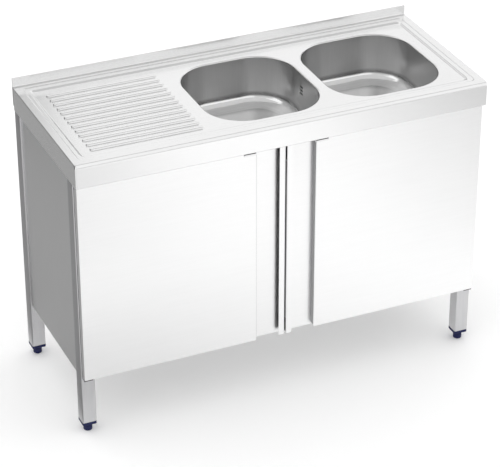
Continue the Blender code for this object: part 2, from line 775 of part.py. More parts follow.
def make_bumper(side, sign):
    bm = bmesh.new()
    bmesh.ops.create_cone(
        bm, cap_ends=True, segments=16, radius1=BUMPER_RADIUS, radius2=BUMPER_TIP, depth=DOOR_CLEAR - 2 * SEAM
    )
    bm.transform(PLANES["XZ"])
    place = (sign * (LEG_X - LEG_SIZE / 2), (LEG_FRONT + DOOR_REAR) / 2, (DOOR_BOTTOM + DOOR_TOP) / 2)
    bmesh.ops.translate(bm, vec=place, verts=bm.verts)
    finish(f"bumper_{side}", bm, BLACK)


def make_hinge(name, sign, level, way):
    """A pivot: a plate on the leg holds the pin, and the pin turns in a bush in the door's edge."""
    x = sign * PIVOT_X
    near = level - way * 2 * SEAM
    far = near - way * PLATE_THICK
    z0, z1 = sorted((near, far))
    x0, x1 = sorted((sign * (PIVOT_X + PLATE_LAP), sign * (PIVOT_X + PLATE_LAP - PLATE_WIDTH)))
    low = (x0, PIVOT_Y - PLATE_LAP, z0)
    high = (x1, LEG_FRONT - SEAM, z1)
    plate = box(f"hinge_plate_{name}", low, high, PIN_STEEL, PLATE_EDGE)
    bore = PIN_RADIUS + RUNNING
    hole = rods(f"pin_hole_{name}", [(x, PIVOT_Y)], z0 - OVERCUT, z1 + OVERCUT, bore)
    boolean(plate, hole)
    p0, p1 = sorted((far, level + way * (BUSH_LENGTH - SEAM)))
    rods(f"hinge_pin_{name}", [(x, PIVOT_Y)], p0, p1, PIN_RADIUS, PIN_STEEL)
    b0, b1 = sorted((level, level + way * BUSH_LENGTH))
    sleeve = [(bore, b1), (BUSH_RADIUS, b1), (BUSH_RADIUS, b0), (bore, b0)]
    return turned(f"hinge_bush_{name}", sleeve, x, PIVOT_Y, NYLON, True)


def make_door(side, sign):
    depth = DOOR_THICK - SHEET - SEAM
    outline = notched_outline(sign, SKIN_INNER, DOOR_OUTER, 0.0)
    skin = tray(f"door_skin_{side}", outline, -DOOR_FRONT, -depth, "XZ", DOOR_STEEL)
    place = [(sign * PIVOT_X, PIVOT_Y)]
    bores = rods(
        f"pivot_bores_{side}", place, DOOR_BOTTOM - OVERCUT, DOOR_TOP + OVERCUT, BUSH_RADIUS + RUNNING
    )
    boolean(skin, bores)
    inset = SHEET + SEAM
    outline = notched_outline(sign, GRIP_START + SEAM, DOOR_OUTER - inset, inset)
    liner = tray(f"door_liner_{side}", outline, -DOOR_REAR, LINER_FOLD, "XZ", DOOR_STEEL)
    lower = make_hinge(f"bottom_{side}", sign, DOOR_BOTTOM, 1)
    upper = make_hinge(f"top_{side}", sign, DOOR_TOP, -1)
    moving = [skin, liner, lower, upper, make_grip(side, sign), make_strike(side, sign)]
    hang(f"door_{side}_axis", (sign * PIVOT_X, PIVOT_Y, DOOR_BOTTOM), moving)
    make_catch(side, sign)
    make_bumper(side, sign)


def hang(name, place, pieces):
    """Parent the pieces to an empty on the axis they turn about, without moving them."""
    axis = bpy.data.objects.new(name, None)
    axis.empty_display_size = PLATE_WIDTH
    axis.location = place
    PARTS.objects.link(axis)
    for piece in pieces:
        piece.parent = axis
        piece.matrix_parent_inverse = Matrix.Translation(place).inverted()


make_worktop()
make_upstand()
make_apron_return()
for bowl_side, bowl_x, toward_duct in (("left", LEFT_BOWL_X, 1), ("right", RIGHT_BOWL_X, -1)):
    make_bowl(bowl_side, bowl_x, toward_duct)
    make_waste(bowl_side, bowl_x)
make_overflow_duct()
make_legs()
make_rails()
make_side_panels()
make_back_panel()
make_bottom_shelf()
for door_side, door_sign in SIDES:
    make_door(door_side, door_sign)
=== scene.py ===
import json
import math

import bmesh
import bpy
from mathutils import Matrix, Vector


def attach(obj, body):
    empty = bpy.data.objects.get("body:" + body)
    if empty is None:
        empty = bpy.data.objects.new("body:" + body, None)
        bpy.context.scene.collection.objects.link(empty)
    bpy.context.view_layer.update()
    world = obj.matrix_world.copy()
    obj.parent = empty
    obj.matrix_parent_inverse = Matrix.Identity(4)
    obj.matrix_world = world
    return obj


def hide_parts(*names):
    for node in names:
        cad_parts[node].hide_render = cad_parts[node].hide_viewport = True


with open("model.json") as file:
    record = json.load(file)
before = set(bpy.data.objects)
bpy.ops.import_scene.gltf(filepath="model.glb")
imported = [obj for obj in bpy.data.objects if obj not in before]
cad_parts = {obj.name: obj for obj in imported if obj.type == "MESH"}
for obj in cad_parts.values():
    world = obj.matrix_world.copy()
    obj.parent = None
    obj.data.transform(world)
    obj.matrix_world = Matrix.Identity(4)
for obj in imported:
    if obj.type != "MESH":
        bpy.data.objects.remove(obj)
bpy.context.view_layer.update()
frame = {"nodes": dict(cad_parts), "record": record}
nodes = frame["nodes"]
print("frame loaded with", len(nodes), "nodes")

sides = (("left", -1), ("right", 1))
weld = 0.000002  # points closer than this become one
crease, sheetCrease, threadCrease = 32, 40, 45  # degrees past which an edge stays sharp
support = 0.0006  # a loop this far from a bend keeps the long face beside it flat


# Small helpers that every piece uses

def linear(hexColour):
    parts = [int(hexColour[i:i + 2], 16) / 255 for i in (1, 3, 5)]
    return [c / 12.92 if c <= 0.04045 else ((c + 0.055) / 1.055) ** 2.4 for c in parts] + [1.0]


def addNode(tree, kind, inputs=None, **settings):
    made = tree.nodes.new(kind)
    for key, value in settings.items():
        setattr(made, key, value)
    for key, value in (inputs or {}).items():
        if isinstance(value, bpy.types.NodeSocket):
            tree.links.new(value, made.inputs[key])
        else:
            made.inputs[key].default_value = value
    return made


def newMaterial(name):
    made = bpy.data.materials.new(name)
    made.use_nodes = True
    return made, made.node_tree, made.node_tree.nodes["Principled BSDF"]


def smoothMesh(mesh, sharp):
    mesh.shade_smooth()
    mesh.set_sharp_from_angle(angle=math.radians(sharp))


def newPiece(name, bm, material, sharp=crease, outward=True):
    bmesh.ops.remove_doubles(bm, verts=bm.verts, dist=weld)
    if outward:
        bmesh.ops.recalc_face_normals(bm, faces=bm.faces)
    mesh = bpy.data.meshes.new(name)
    bm.to_mesh(mesh)
    bm.free()
    mesh.materials.append(material)
    smoothMesh(mesh, sharp)
    piece = bpy.data.objects.new(name, mesh)
    bpy.context.scene.collection.objects.link(piece)
    return piece


def bakePiece(piece, sharp=None):
    ready = piece.evaluated_get(bpy.context.evaluated_depsgraph_get())
    mesh = bpy.data.meshes.new_from_object(ready)
    piece.modifiers.clear()
    piece.data = mesh
    if sharp:
        smoothMesh(mesh, sharp)
    return piece


def sheetWall(piece, thickness, offset=-1.0):
    wall = piece.modifiers.new("sheet", "SOLIDIFY")
    wall.thickness = thickness
    wall.offset = offset
    wall.use_even_offset = True
    wall.use_quality_normals = True
    return piece


def cutPiece(piece, tools, sharp):
    for tool in tools:
        cut = piece.modifiers.new("cut", "BOOLEAN")
        cut.operation = "DIFFERENCE"
        cut.solver = "EXACT"
        cut.object = tool
    bakePiece(piece, sharp)
    for tool in tools:
        bpy.data.objects.remove(tool, do_unlink=True)
    return piece


def placePiece(piece, body, slotName, *replaced):
    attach(piece, body)
    if replaced:
        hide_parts(*replaced)
    return piece


def addPiece(name, bm, body, slotName, *replaced, sharp=crease):
    # the plain way in, for a closed mesh that needs no modifier
    return placePiece(newPiece(name, bm, finishes[slotName], sharp), body, slotName, *replaced)


# Loops, lofts and blocks

def shares(steps, first=0):
    return [i / steps for i in range(first, steps + 1)]


def ease(t):
    return t * t * (3 - 2 * t)


def between(a, b, t):
    return a[0] + (b[0] - a[0]) * t, a[1] + (b[1] - a[1]) * t


def circle(cx, cy, radius, steps):
    angles = [2 * math.pi * i / steps for i in range(steps)]
    return [(cx + radius * math.cos(a), cy + radius * math.sin(a)) for a in angles]


def arcPoints(cx, cy, radius, start, stop, steps):
    angles = [math.radians(start + (stop - start) * t) for t in shares(steps)]
    return [(cx + radius * math.cos(a), cy + radius * math.sin(a)) for a in angles]


def roundedLoop(cx, cy, halfX, halfY, radius, cornerSteps, sideSteps=1):
    def onCorner(turn, share):
        signX, signY = ((1, 1), (-1, 1), (-1, -1), (1, -1))[turn % 4]
        angle = math.pi / 2 * (turn + share)
        return (cx + signX * (halfX - radius) + radius * math.cos(angle),
                cy + signY * (halfY - radius) + radius * math.sin(angle))

    points = []
    for turn in range(4):
        points += [onCorner(turn, t) for t in shares(cornerSteps)]
        last, after = points[-1], onCorner(turn + 1, 0)
        points += [between(last, after, i / sideSteps) for i in range(1, sideSteps)]
    return points


def stadiumLoop(x0, x1, y, radius, steps):
    return (arcPoints(x1 - radius, y, radius, -90, 90, steps)
            + arcPoints(x0 + radius, y, radius, 90, 270, steps))


def circleFrom(loop, cx, cy, radius):
    # as many points as the loop has, each in the same direction from the middle
    points = []
    for x, y in loop:
        away = math.hypot(x - cx, y - cy)
        points.append((cx + (x - cx) / away * radius, cy + (y - cy) / away * radius))
    return points


def ringAt(bm, loop, level, axis=2):
    # a flat loop, set at this level along the axis
    return [bm.verts.new(point[:axis] + (level,) + point[axis:]) for point in loop]


def loftRings(bm, rings, closed=False):
    pairs = list(zip(rings, rings[1:]))
    if closed:
        pairs.append((rings[-1], rings[0]))
    for lower, upper in pairs:
        for i in range(len(lower)):
            j = (i + 1) % len(lower)
            bm.faces.new((lower[i], lower[j], upper[j], upper[i]))


def loftSolid(bm, rings):
    loftRings(bm, rings)
    bm.faces.new(rings[0])
    bm.faces.new(rings[-1])
    return bm


def stripFaces(bm, first, second):
    for i in range(len(first) - 1):
        bm.faces.new((first[i], second[i], second[i + 1], first[i + 1]))


def ringEdges(bm, verts):
    pairs = zip(verts, verts[1:] + verts[:1])
    return [bm.edges.get(pair) or bm.edges.new(pair) for pair in pairs]


def faceUp(bm, measure):
    # the face that comes first by this measure looks up, and the rest follow it
    bmesh.ops.recalc_face_normals(bm, faces=bm.faces)
    if max(bm.faces, key=measure).normal.z < 0:
        bmesh.ops.reverse_faces(bm, faces=bm.faces)


def turnedMesh(profile, steps, place=(0, 0, 0), closed=True):
    # radius and height, turned round an upright axis
    bm = bmesh.new()
    loftRings(bm, [ringAt(bm, circle(0, 0, r, steps), z) for r, z in profile], closed)
    bmesh.ops.translate(bm, vec=place, verts=bm.verts)
    return bm


def softBox(bm, xs, ys, zs, soft):
    middle = [(reach[0] + reach[1]) / 2 for reach in (xs, ys)]
    half = [abs(reach[1] - reach[0]) / 2 for reach in (xs, ys)]
    low, high = zs
    rings = []
    for z, share in ((low, 1.0), (low + soft * 0.3, 0.3), (low + soft, 0.0),
                     (high - soft, 0.0), (high - soft * 0.3, 0.3), (high, 1.0)):
        inset = share * soft * 0.8
        loop = roundedLoop(*middle, half[0] - inset, half[1] - inset, soft - inset, 4)
        rings.append(ringAt(bm, loop, z))
    loftSolid(bm, rings)


def blockMesh(blocks, sign=1):
    # each block: its reach along x, y and z and the radius of its edges; x counts outwards
    bm = bmesh.new()
    for xs, ys, zs, soft in blocks:
        softBox(bm, [sign * x for x in xs], ys, zs, soft)
    return bm


# Trees that repeat a shape

def newTree(name, sockets):
    tree = bpy.data.node_groups.new(name, "GeometryNodeTree")
    tree.interface.new_socket("shape", in_out="INPUT", socket_type="NodeSocketGeometry")
    sockets += (("middle", "NodeSocketVector"), ("finish", "NodeSocketMaterial"))
    for label, kind in sockets:
        tree.interface.new_socket(label, in_out="INPUT", socket_type=kind)
    tree.interface.new_socket("shape", in_out="OUTPUT", socket_type="NodeSocketGeometry")
    return tree, addNode(tree, "NodeGroupInput").outputs


def endTree(tree, given, points, **turned):
    spread = addNode(tree, "GeometryNodeInstanceOnPoints", {
        "Points": points.outputs[0], "Instance": given["shape"], **turned})
    plain = addNode(tree, "GeometryNodeRealizeInstances", {"Geometry": spread.outputs[0]})
    moved = addNode(tree, "GeometryNodeTransform", {
        "Geometry": plain.outputs[0], "Translation": given["middle"]})
    dressed = addNode(tree, "GeometryNodeSetMaterial", {
        "Geometry": moved.outputs[0], "Material": given["finish"]})
    addNode(tree, "NodeGroupOutput", {"shape": dressed.outputs[0]})
    return tree


def rowTree():
    tree, given = newTree("row of ribs", (
        ("count", "NodeSocketInt"), ("step", "NodeSocketVector")))
    line = addNode(tree, "GeometryNodeMeshLine", {"Count": given["count"], "Offset": given["step"]})
    return endTree(tree, given, line)


def cornersTree():
    tree, given = newTree("one at each corner", (
        ("width", "NodeSocketFloat"), ("depth", "NodeSocketFloat")))
    grid = addNode(tree, "GeometryNodeMeshGrid", {
        "Size X": given["width"], "Size Y": given["depth"], "Vertices X": 2, "Vertices Y": 2})
    return endTree(tree, given, grid)


def ringTree():
    tree, given = newTree("ring of ribs", (
        ("count", "NodeSocketInt"), ("radius", "NodeSocketFloat")))
    ring = addNode(tree, "GeometryNodeMeshCircle", {
        "Vertices": given["count"], "Radius": given["radius"]})
    place = addNode(tree, "GeometryNodeInputPosition")
    turn = addNode(tree, "FunctionNodeAlignRotationToVector", {
        "Vector": place.outputs[0]}, axis="X")
    return endTree(tree, given, ring, Rotation=turn.outputs[0])


def repeatPiece(piece, tree, **values):
    run = piece.modifiers.new(tree.name, "NODES")
    run.node_group = tree
    for item in tree.interface.items_tree:
        if item.item_type == "SOCKET" and item.in_out == "INPUT" and item.name in values:
            run[item.identifier] = values[item.name]
    return bakePiece(piece)


ribRow = rowTree()
cornerSet = cornersTree()
ringSet = ringTree()
print("trees built")


# Materials: grain, drift and pebble are in millimetres

steelTones = {
    # an even pale sheen, a little brighter where it faces the light
    "top_steel": {
        "name": "stainless steel, pressed satin sheet", "light": "#f5f5f5", "dark": "#efefef",
        "rough": (0.17, 0.22), "grain": (90, 2.4, 2.4), "drift": 260, "bump": 0.025},
    # broad blurred reflections, clearer on the floor; by height it is painted, with painted shade
    # in a band round the bend at the walls' foot, a painted highlight on the bend just below it,
    # and walls painted greyer than the floor up to the rim
    "bowl_steel": {
        "name": "stainless steel, deep drawn and brushed", "light": "#ffffff", "dark": "#f7f7f7",
        "rough": (0.22, 0.26), "grain": (3, 3, 140), "drift": 160, "bump": 0.012,
        "polish": (0.716, 0.73, 0.55, 1.3),
        # heights, and the tone painted at each: painted shade and a painted highlight round the
        # walls' foot
        "levels": ((0.7, "#f6f6f6"), (0.7205, "#ffffff"), (0.725, "#a8a8a8"), (0.729, "#b6b6b6"),
                   (0.738, "#dcdcdc"), (0.843, "#c0c0c0"))},
    # streaks along the tube, which dull it to a mid grey
    "leg_steel": {
        "name": "stainless steel, ground square tube", "light": "#d0d0d1", "dark": "#c6c6c8",
        "rough": (0.30, 0.38), "grain": (2.4, 2.4, 110), "drift": 180, "bump": 0.06},
    # a flat pale grey with no clear reflection
    "panel_steel": {
        "name": "stainless steel, folded satin sheet", "light": "#f2f2f2", "dark": "#ededed",
        "rough": (0.30, 0.36), "grain": (2.6, 2.6, 120), "drift": 320, "bump": 0.04},
    # brushed across, so it washes out to white in light from the front
    "door_steel": {
        "name": "stainless steel, folded satin door sheet", "light": "#fafafa", "dark": "#f6f6f6",
        "rough": (0.28, 0.34), "grain": (120, 2.6, 2.6), "drift": 320, "bump": 0.04},
    # small hard highlights on a darker grey
    "pin_steel": {
        "name": "bright steel, turned and plated", "light": "#c9c9c9", "dark": "#b4b4b4",
        "rough": (0.20, 0.30), "grain": (1.6, 1.6, 0.8), "drift": 40, "bump": 0.05},
}
mouldTones = {
    # a deep blue that is nearly black; its IOR is below the usual 1.53, to keep it that deep
    "navy_plastic": {
        "name": "ABS, moulded navy", "light": "#121b4e", "dark": "#0e1541",
        "rough": (0.40, 0.52), "pebble": 1.4, "bump": 0.08, "ior": 1.36},
    # waxy and off-white, with a wide soft highlight
    "white_plastic": {
        "name": "polypropylene, moulded white", "light": "#efeeea", "dark": "#e6e5e0",
        "rough": (0.38, 0.5), "pebble": 2.2, "bump": 0.06, "ior": 1.49},
    # matt, and takes up most of the light
    "black_rubber": {
        "name": "EPDM rubber, moulded black", "light": "#262626", "dark": "#1b1b1b",
        "rough": (0.7, 0.85), "pebble": 0.9, "bump": 0.15, "ior": 1.52},
    # a smooth mid grey, slightly waxy
    "grey_nylon": {
        "name": "nylon, moulded grey", "light": "#a3a3a5", "dark": "#969698",
        "rough": (0.42, 0.55), "pebble": 1.2, "bump": 0.06, "ior": 1.53},
}
noise = {"used": (0.3, 0.7), "height": 0.0002, "driftShare": 0.4,
         "steelStops": (0.32, 0.68), "mouldStops": (0.35, 0.65)}


def setStops(ramp, stops):
    elements = ramp.color_ramp.elements
    while len(elements) < len(stops):
        elements.new(0.5)
    for element, (place, shade) in zip(elements, stops):
        element.position = place
        element.color = linear(shade)


def dressSurface(tree, tone, pattern, relief, stops):
    # the pattern shifts colour and gloss a little, and its relief breaks up the highlight
    colour = addNode(tree, "ShaderNodeValToRGB", {"Fac": pattern})
    setStops(colour, tuple(zip(stops, (tone["dark"], tone["light"]))))
    gloss = addNode(tree, "ShaderNodeMapRange", {
        "Value": pattern, "From Min": noise["used"][0], "From Max": noise["used"][1],
        "To Min": tone["rough"][0], "To Max": tone["rough"][1]})
    tilt = addNode(tree, "ShaderNodeBump", {
        "Height": relief, "Strength": tone["bump"], "Distance": noise["height"]})
    return colour.outputs[0], gloss.outputs[0], tilt.outputs[0]


def linkSurface(tree, shader, colour, gloss, tilt):
    tree.links.new(colour, shader.inputs["Base Color"])
    tree.links.new(gloss, shader.inputs["Roughness"])
    tree.links.new(tilt, shader.inputs["Normal"])


def paintedShadeAndPolish(tree, tone, place, colour, gloss):
    # painted shade and a painted highlight by height: the walls are painted greyer than the floor,
    # darkest in a band round the bend at their foot, with a painted highlight on the bend just
    # below it
    low, high = tone["levels"][0][0], tone["levels"][-1][0]
    level = addNode(tree, "ShaderNodeSeparateXYZ", {0: place}).outputs[2]
    share = addNode(tree, "ShaderNodeMapRange", {
        "Value": level, "From Min": low, "From Max": high})
    drawn = addNode(tree, "ShaderNodeValToRGB", {"Fac": share.outputs[0]})
    setStops(drawn, [((z - low) / (high - low), shade) for z, shade in tone["levels"]])
    colour = addNode(tree, "ShaderNodeMix", {
        0: 1.0, 6: colour, 7: drawn.outputs[0]}, data_type="RGBA", blend_type="MULTIPLY")
    # and the press polishes the floor, where the walls keep the brush
    low, high, least, most = tone["polish"]
    share = addNode(tree, "ShaderNodeMapRange", {
        "Value": level, "From Min": low, "From Max": high, "To Min": least, "To Max": most})
    gloss = addNode(tree, "ShaderNodeMath", {0: gloss, 1: share.outputs[0]}, operation="MULTIPLY")
    return colour.outputs[2], gloss.outputs[0]


def steelFinish(tone):
    # satin grain: long fine lines that spread the light, drawn about ten times coarser than real
    made, tree, shader = newMaterial(tone["name"])
    place = addNode(tree, "ShaderNodeTexCoord").outputs["Object"]
    lines = addNode(tree, "ShaderNodeMapping", {
        "Vector": place, "Scale": [1000 / mm for mm in tone["grain"]]})
    grain = addNode(tree, "ShaderNodeTexNoise", {
        "Vector": lines.outputs[0], "Scale": 1.0, "Detail": 4.0, "Roughness": 0.62})
    drift = addNode(tree, "ShaderNodeTexNoise", {
        "Vector": place, "Scale": 1000 / tone["drift"], "Detail": 2.0, "Roughness": 0.5})
    both = addNode(tree, "ShaderNodeMix", {
        0: noise["driftShare"], 2: grain.outputs[0], 3: drift.outputs[0]}, data_type="FLOAT")
    colour, gloss, tilt = dressSurface(
        tree, tone, both.outputs[0], grain.outputs[0], noise["steelStops"])
    # the bowl steel gets painted shade and a painted highlight by height, and a glossier floor
    if "levels" in tone:
        colour, gloss = paintedShadeAndPolish(tree, tone, place, colour, gloss)
    linkSurface(tree, shader, colour, gloss, tilt)
    shader.inputs["Metallic"].default_value = 1.0
    return made


def mouldedFinish(tone):
    # a spark-eroded pebble from the mould, drawn coarser than real so that it shows
    made, tree, shader = newMaterial(tone["name"])
    place = addNode(tree, "ShaderNodeTexCoord").outputs["Object"]
    noisy = addNode(tree, "ShaderNodeTexNoise", {
        "Vector": place, "Scale": 1000 / tone["pebble"], "Detail": 3.0, "Roughness": 0.6})
    pebble = noisy.outputs[0]
    linkSurface(tree, shader, *dressSurface(tree, tone, pebble, pebble, noise["mouldStops"]))
    shader.inputs["IOR"].default_value = tone["ior"]
    return made


finishes = {slotName: steelFinish(tone) for slotName, tone in steelTones.items()}
finishes.update({slotName: mouldedFinish(tone) for slotName, tone in mouldTones.items()})
for part in frame["record"]["subparts"]:
    slots = nodes[part["node"]].data.materials
    slots[0] = finishes[part["material_slot"]]
print("materials made:", len(finishes))


# Worktop: one pressed sheet with a rolled front edge and two steps down to the deck

topSheet = {
    "width": 1.2, "front": -0.25, "back": 0.2482, "rim": 0.85, "apron": 0.068, "sheet": 0.0012,
    "hem": 0.0008, "corner": 0.005, "rimCorner": 0.007, "stepCorner": 0.014, "cornerSteps": 10,
    "roll": (0.019, 35), "edge": (0.0025, 90), "sideEdge": 0.0006,  # radius, and end of its turn
    "outerStep": (0.0205, 0.0275, 0.0175, 0.0035, 0.002),  # in from side, front and back; run, drop
    "innerStep": (0.0325, 0.042, 0.0325, 0.009, 0.005), "steps": 8,
}
bowlShape = {
    "width": 0.33, "length": 0.364, "corner": 0.112, "depth": 0.1475, "sheet": 0.001,
    "places": (("left", -0.0025, 1), ("right", 0.362, -1)),  # x, and the way to its overflow
    "cornerSteps": 20, "sideSteps": 8,
    "lip": 0.005, "lipSteps": 12, "lipShare": 9,  # how many of the lip's steps the worktop turns
    "draft": 0.0015, "rise": 0.011, "heel": 0.028, "turn": 69,
    "ledge": (0.012, 0.0046), "well": (0.012, 0.0028),  # each runs in and down by this
    "dish": (0.045, 0.0015),  # radius, and height over the floor, as in the seat below
    "seat": ((0.0415, 0.0006), (0.0385, 0.0001), (0.0371, -0.0004), (0.0365, -0.0012),
             (0.0365, -0.0025), (0.0255, -0.0025)),
    "slotY": 0.018, "slotDrop": 0.05, "slotPitch": 0.01, "slotLong": 0.021, "slotHigh": 0.0055,
    "slotReach": 0.01,
}
deck = topSheet["rim"] - topSheet["outerStep"][4] - topSheet["innerStep"][4]


def bowlLoop(x, inset):
    size = bowlShape
    grow = size["lip"] - inset
    return roundedLoop(x, 0, size["width"] / 2 + grow, size["length"] / 2 + grow,
                       size["corner"] + grow, size["cornerSteps"], size["sideSteps"])


def lipLevels():
    lip = bowlShape["lip"]
    angles = [math.pi / 2 * t for t in shares(bowlShape["lipSteps"])]
    return [(lip * math.sin(angle), lip * (1 - math.cos(angle))) for angle in angles]


def topLevels():
    # each level: inset at the sides, the front and the back, then its height and corner
    size = topSheet
    rim, hem, corner, steps = size["rim"], size["hem"], size["corner"], size["steps"]
    foot = rim - size["apron"]
    hemmed = ((hem, 0), (hem * 0.3, hem * 0.3), (0, hem), (0, hem + support))
    levels = [(inset, inset, 0, foot + up, corner) for inset, up in hemmed]
    # the front edge turns slowly out of the apron and then quickly onto the top
    roll, start, inset, rise = [], 0, 0, 0
    for radius, stop in (size["roll"], size["edge"]):
        turn = arcPoints(0, 0, radius, start, stop, steps)
        roll += [(inset + turn[0][0] - x, rise + y - turn[0][1]) for x, y in turn[1:]]
        (inset, rise), start = roll[-1], stop
    low = rim - rise
    levels += [(0, 0, 0, low - support, corner), (0, 0, 0, low, corner)]
    levels += [(size["sideEdge"] * into / inset, into, 0, low + up, corner) for into, up in roll]
    levels.append((size["sideEdge"] + support, inset + support, support, rim, size["rimCorner"]))
    for side, front, back, run, drop in (size["outerStep"], size["innerStep"]):
        slope = [(run * t, drop * ease(t)) for t in shares(steps)]
        slope = [(-support, 0)] + slope + [(run + support, drop)]
        levels += [(side + into, front + into, back + into, rim - down, size["stepCorner"])
                   for into, down in slope]
        rim -= drop
    return levels


def makeTop():
    size = topSheet
    bm = bmesh.new()
    rings = []
    for side, front, back, z, radius in topLevels():
        low, high = size["front"] + front, size["back"] - back
        loop = roundedLoop(0, (low + high) / 2, size["width"] / 2 - side, (high - low) / 2,
                           radius, size["cornerSteps"])
        rings.append(ringAt(bm, loop, z))
    loftRings(bm, rings)
    edges = ringEdges(bm, rings[-1])
    lips = []
    for side, x, toward in bowlShape["places"]:
        levels = lipLevels()[:bowlShape["lipShare"] + 1]
        lips.append([ringAt(bm, bowlLoop(x, inset), deck - drop) for inset, drop in levels])
        edges += ringEdges(bm, lips[-1][0])
    bmesh.ops.triangle_fill(bm, use_beauty=True, use_dissolve=False, edges=edges)
    for lip in lips:
        loftRings(bm, lip)
    faceUp(bm, lambda face: face.calc_center_median().z)
    piece = newPiece("pressedTop", bm, finishes["top_steel"], sheetCrease, outward=False)
    bakePiece(sheetWall(piece, size["sheet"]), sheetCrease)
    placePiece(piece, "cabinet", "top_steel", "worktop")


makeTop()

ribs = {
    "count": 13, "width": 0.016, "rise": 0.0045, "from": -0.53, "to": -0.212, "span": 0.338,
    "skirt": 0.0008, "ends": 0.1, "endSteps": 10,
    # share of the half width from the edge, and share of the rise there
    "shape": ((0, 0), (0.05, 0.03), (0.1, 0.11), (0.16, 0.26), (0.22, 0.43), (0.28, 0.6),
              (0.34, 0.74), (0.4, 0.85), (0.47, 0.92), (0.56, 0.96), (0.7, 0.985), (0.86, 1.0),
              (0.94, 1.0)),
}


def makeRibs():
    size = ribs
    half, steps, start, stop = size["width"] / 2, size["endSteps"], size["from"], size["to"]
    bm = bmesh.new()
    rings = [ringAt(bm, stadiumLoop(start, stop, 0, half, steps), deck - size["skirt"])]
    for inward, up in size["shape"]:
        end = half * inward * size["ends"]
        loop = stadiumLoop(start + end, stop - end, 0, half * (1 - inward), steps)
        rings.append(ringAt(bm, loop, deck + size["rise"] * up))
    steel = finishes["top_steel"]
    piece = newPiece("drainerRibs", loftSolid(bm, rings), steel, sheetCrease)
    repeatPiece(piece, ribRow, count=size["count"], step=(0, size["span"] / (size["count"] - 1), 0),
                middle=(0, -size["span"] / 2, 0), finish=steel)
    placePiece(piece, "cabinet", "top_steel")


makeRibs()
print("worktop and ribs made")


# Upstand: a closed hem, so its ends show two layers of sheet

upstand = {"sheet": 0.0012, "front": 0.2476, "back": 0.2494, "foot": 0.8503, "head": 0.8764,
           "low": 0.795, "end": 0.6, "fold": 0.0005, "foldSteps": 10}
cove = {"radius": 0.0045, "end": 0.5982, "lift": 0.00005, "overlap": 0.0004, "steps": 8}


def makeUpstand():
    size = upstand
    front, back, head = size["front"], size["back"], size["head"]
    centre = [(front, size["foot"]), (front, head - size["fold"])]
    centre += arcPoints((front + back) / 2, head, (back - front) / 2, 180, 0, size["foldSteps"])
    centre += [(back, head - size["fold"]), (back, size["low"])]
    bm = bmesh.new()
    stripFaces(bm, ringAt(bm, centre, -size["end"], 0), ringAt(bm, centre, size["end"], 0))
    piece = newPiece("hemmedUpstand", bm, finishes["top_steel"], sheetCrease, outward=False)
    bakePiece(sheetWall(piece, size["sheet"], 0.0), sheetCrease)
    placePiece(piece, "cabinet", "top_steel", "upstand")


def makeCove():
    # the bend at the foot of the upstand, drawn as a fillet over the seam
    radius, over, end = cove["radius"], cove["overlap"], cove["end"]
    face, floor = upstand["front"] - upstand["sheet"] / 2, topSheet["rim"] + cove["lift"]
    profile = arcPoints(face - radius, floor + radius, radius, -90, 0, cove["steps"])
    profile += [(face + over, floor + radius), (face + over, floor - over),
                (face - radius, floor - over)]
    bm = bmesh.new()
    loftSolid(bm, [ringAt(bm, profile, x, 0) for x in (-end, end)])
    addPiece("upstandBend", bm, "cabinet", "top_steel", sharp=sheetCrease)


makeUpstand()
makeCove()


# Bowls: deep drawn, with a soft lip, a ledge above the well and a dished seat round the drain

# black rubber behind the slots, which stands in for painted shade inside them
overflowShadeSeal = {"gap": 0.0012, "half": (0.0114, 0.0154), "corner": 0.003, "cornerSteps": 4,
                "shape": ((0.0, 0.0008), (0.0006, 0.0), (0.0022, 0.0), (0.0028, 0.0008))}


def bowlRings(bm, x):
    size = bowlShape
    lip, draft, heel = size["lip"], size["draft"], size["heel"]
    levels = lipLevels()[size["lipShare"]:]
    knee = size["depth"] - size["rise"] - heel
    levels += [(lip + draft * t, lip + (knee - lip) * t) for t in shares(6, 1)]
    for t in shares(9, 1):
        angle = math.radians(size["turn"]) * t
        levels.append((lip + draft + heel * (1 - math.cos(angle)), knee + heel * math.sin(angle)))
    for (run, fall), steps, curve in ((size["ledge"], 3, float), (size["well"], 9, ease)):
        inset, drop = levels[-1]
        levels += [(inset + run * t, drop + fall * curve(t)) for t in shares(steps, 1)]
    rings = [ringAt(bm, bowlLoop(x, inset), deck - drop) for inset, drop in levels]
    # from the well's edge the floor falls to a round dish, and into the seat of the waste
    edge, start, floor = bowlLoop(x, levels[-1][0]), deck - levels[-1][1], deck - size["depth"]
    radius, lift = size["dish"]
    dish = circleFrom(edge, x, 0, radius)
    for t in shares(8, 1):
        loop = [between(a, b, t) for a, b in zip(edge, dish)]
        rings.append(ringAt(bm, loop, start + (floor + lift - start) * t))
    for radius, lift in size["seat"]:
        rings.append(ringAt(bm, circleFrom(edge, x, 0, radius), floor + lift))
    return rings


def slotCutter(wall):
    size = bowlShape
    bm = bmesh.new()
    near, far = size["slotY"] - size["slotLong"] / 2, size["slotY"] + size["slotLong"] / 2
    for i in (-1, 0, 1):
        level = deck - size["slotDrop"] + size["slotPitch"] * i
        loop = stadiumLoop(near, far, level, size["slotHigh"] / 2, 8)
        reach = size["slotReach"]
        loftSolid(bm, [ringAt(bm, loop, x, 0) for x in (wall - reach, wall + reach)])
    return newPiece("slotCutter", bm, finishes["bowl_steel"])


def makeBowl(side, x, toward):
    bm = bmesh.new()
    loftRings(bm, bowlRings(bm, x))
    faceUp(bm, lambda face: -face.calc_center_median().z)
    piece = newPiece(side + "Bowl", bm, finishes["bowl_steel"], sheetCrease, outward=False)
    sheetWall(piece, bowlShape["sheet"])
    cutPiece(piece, [slotCutter(x + toward * bowlShape["width"] / 2)], sheetCrease)
    placePiece(piece, "cabinet", "bowl_steel", "bowl_" + side)


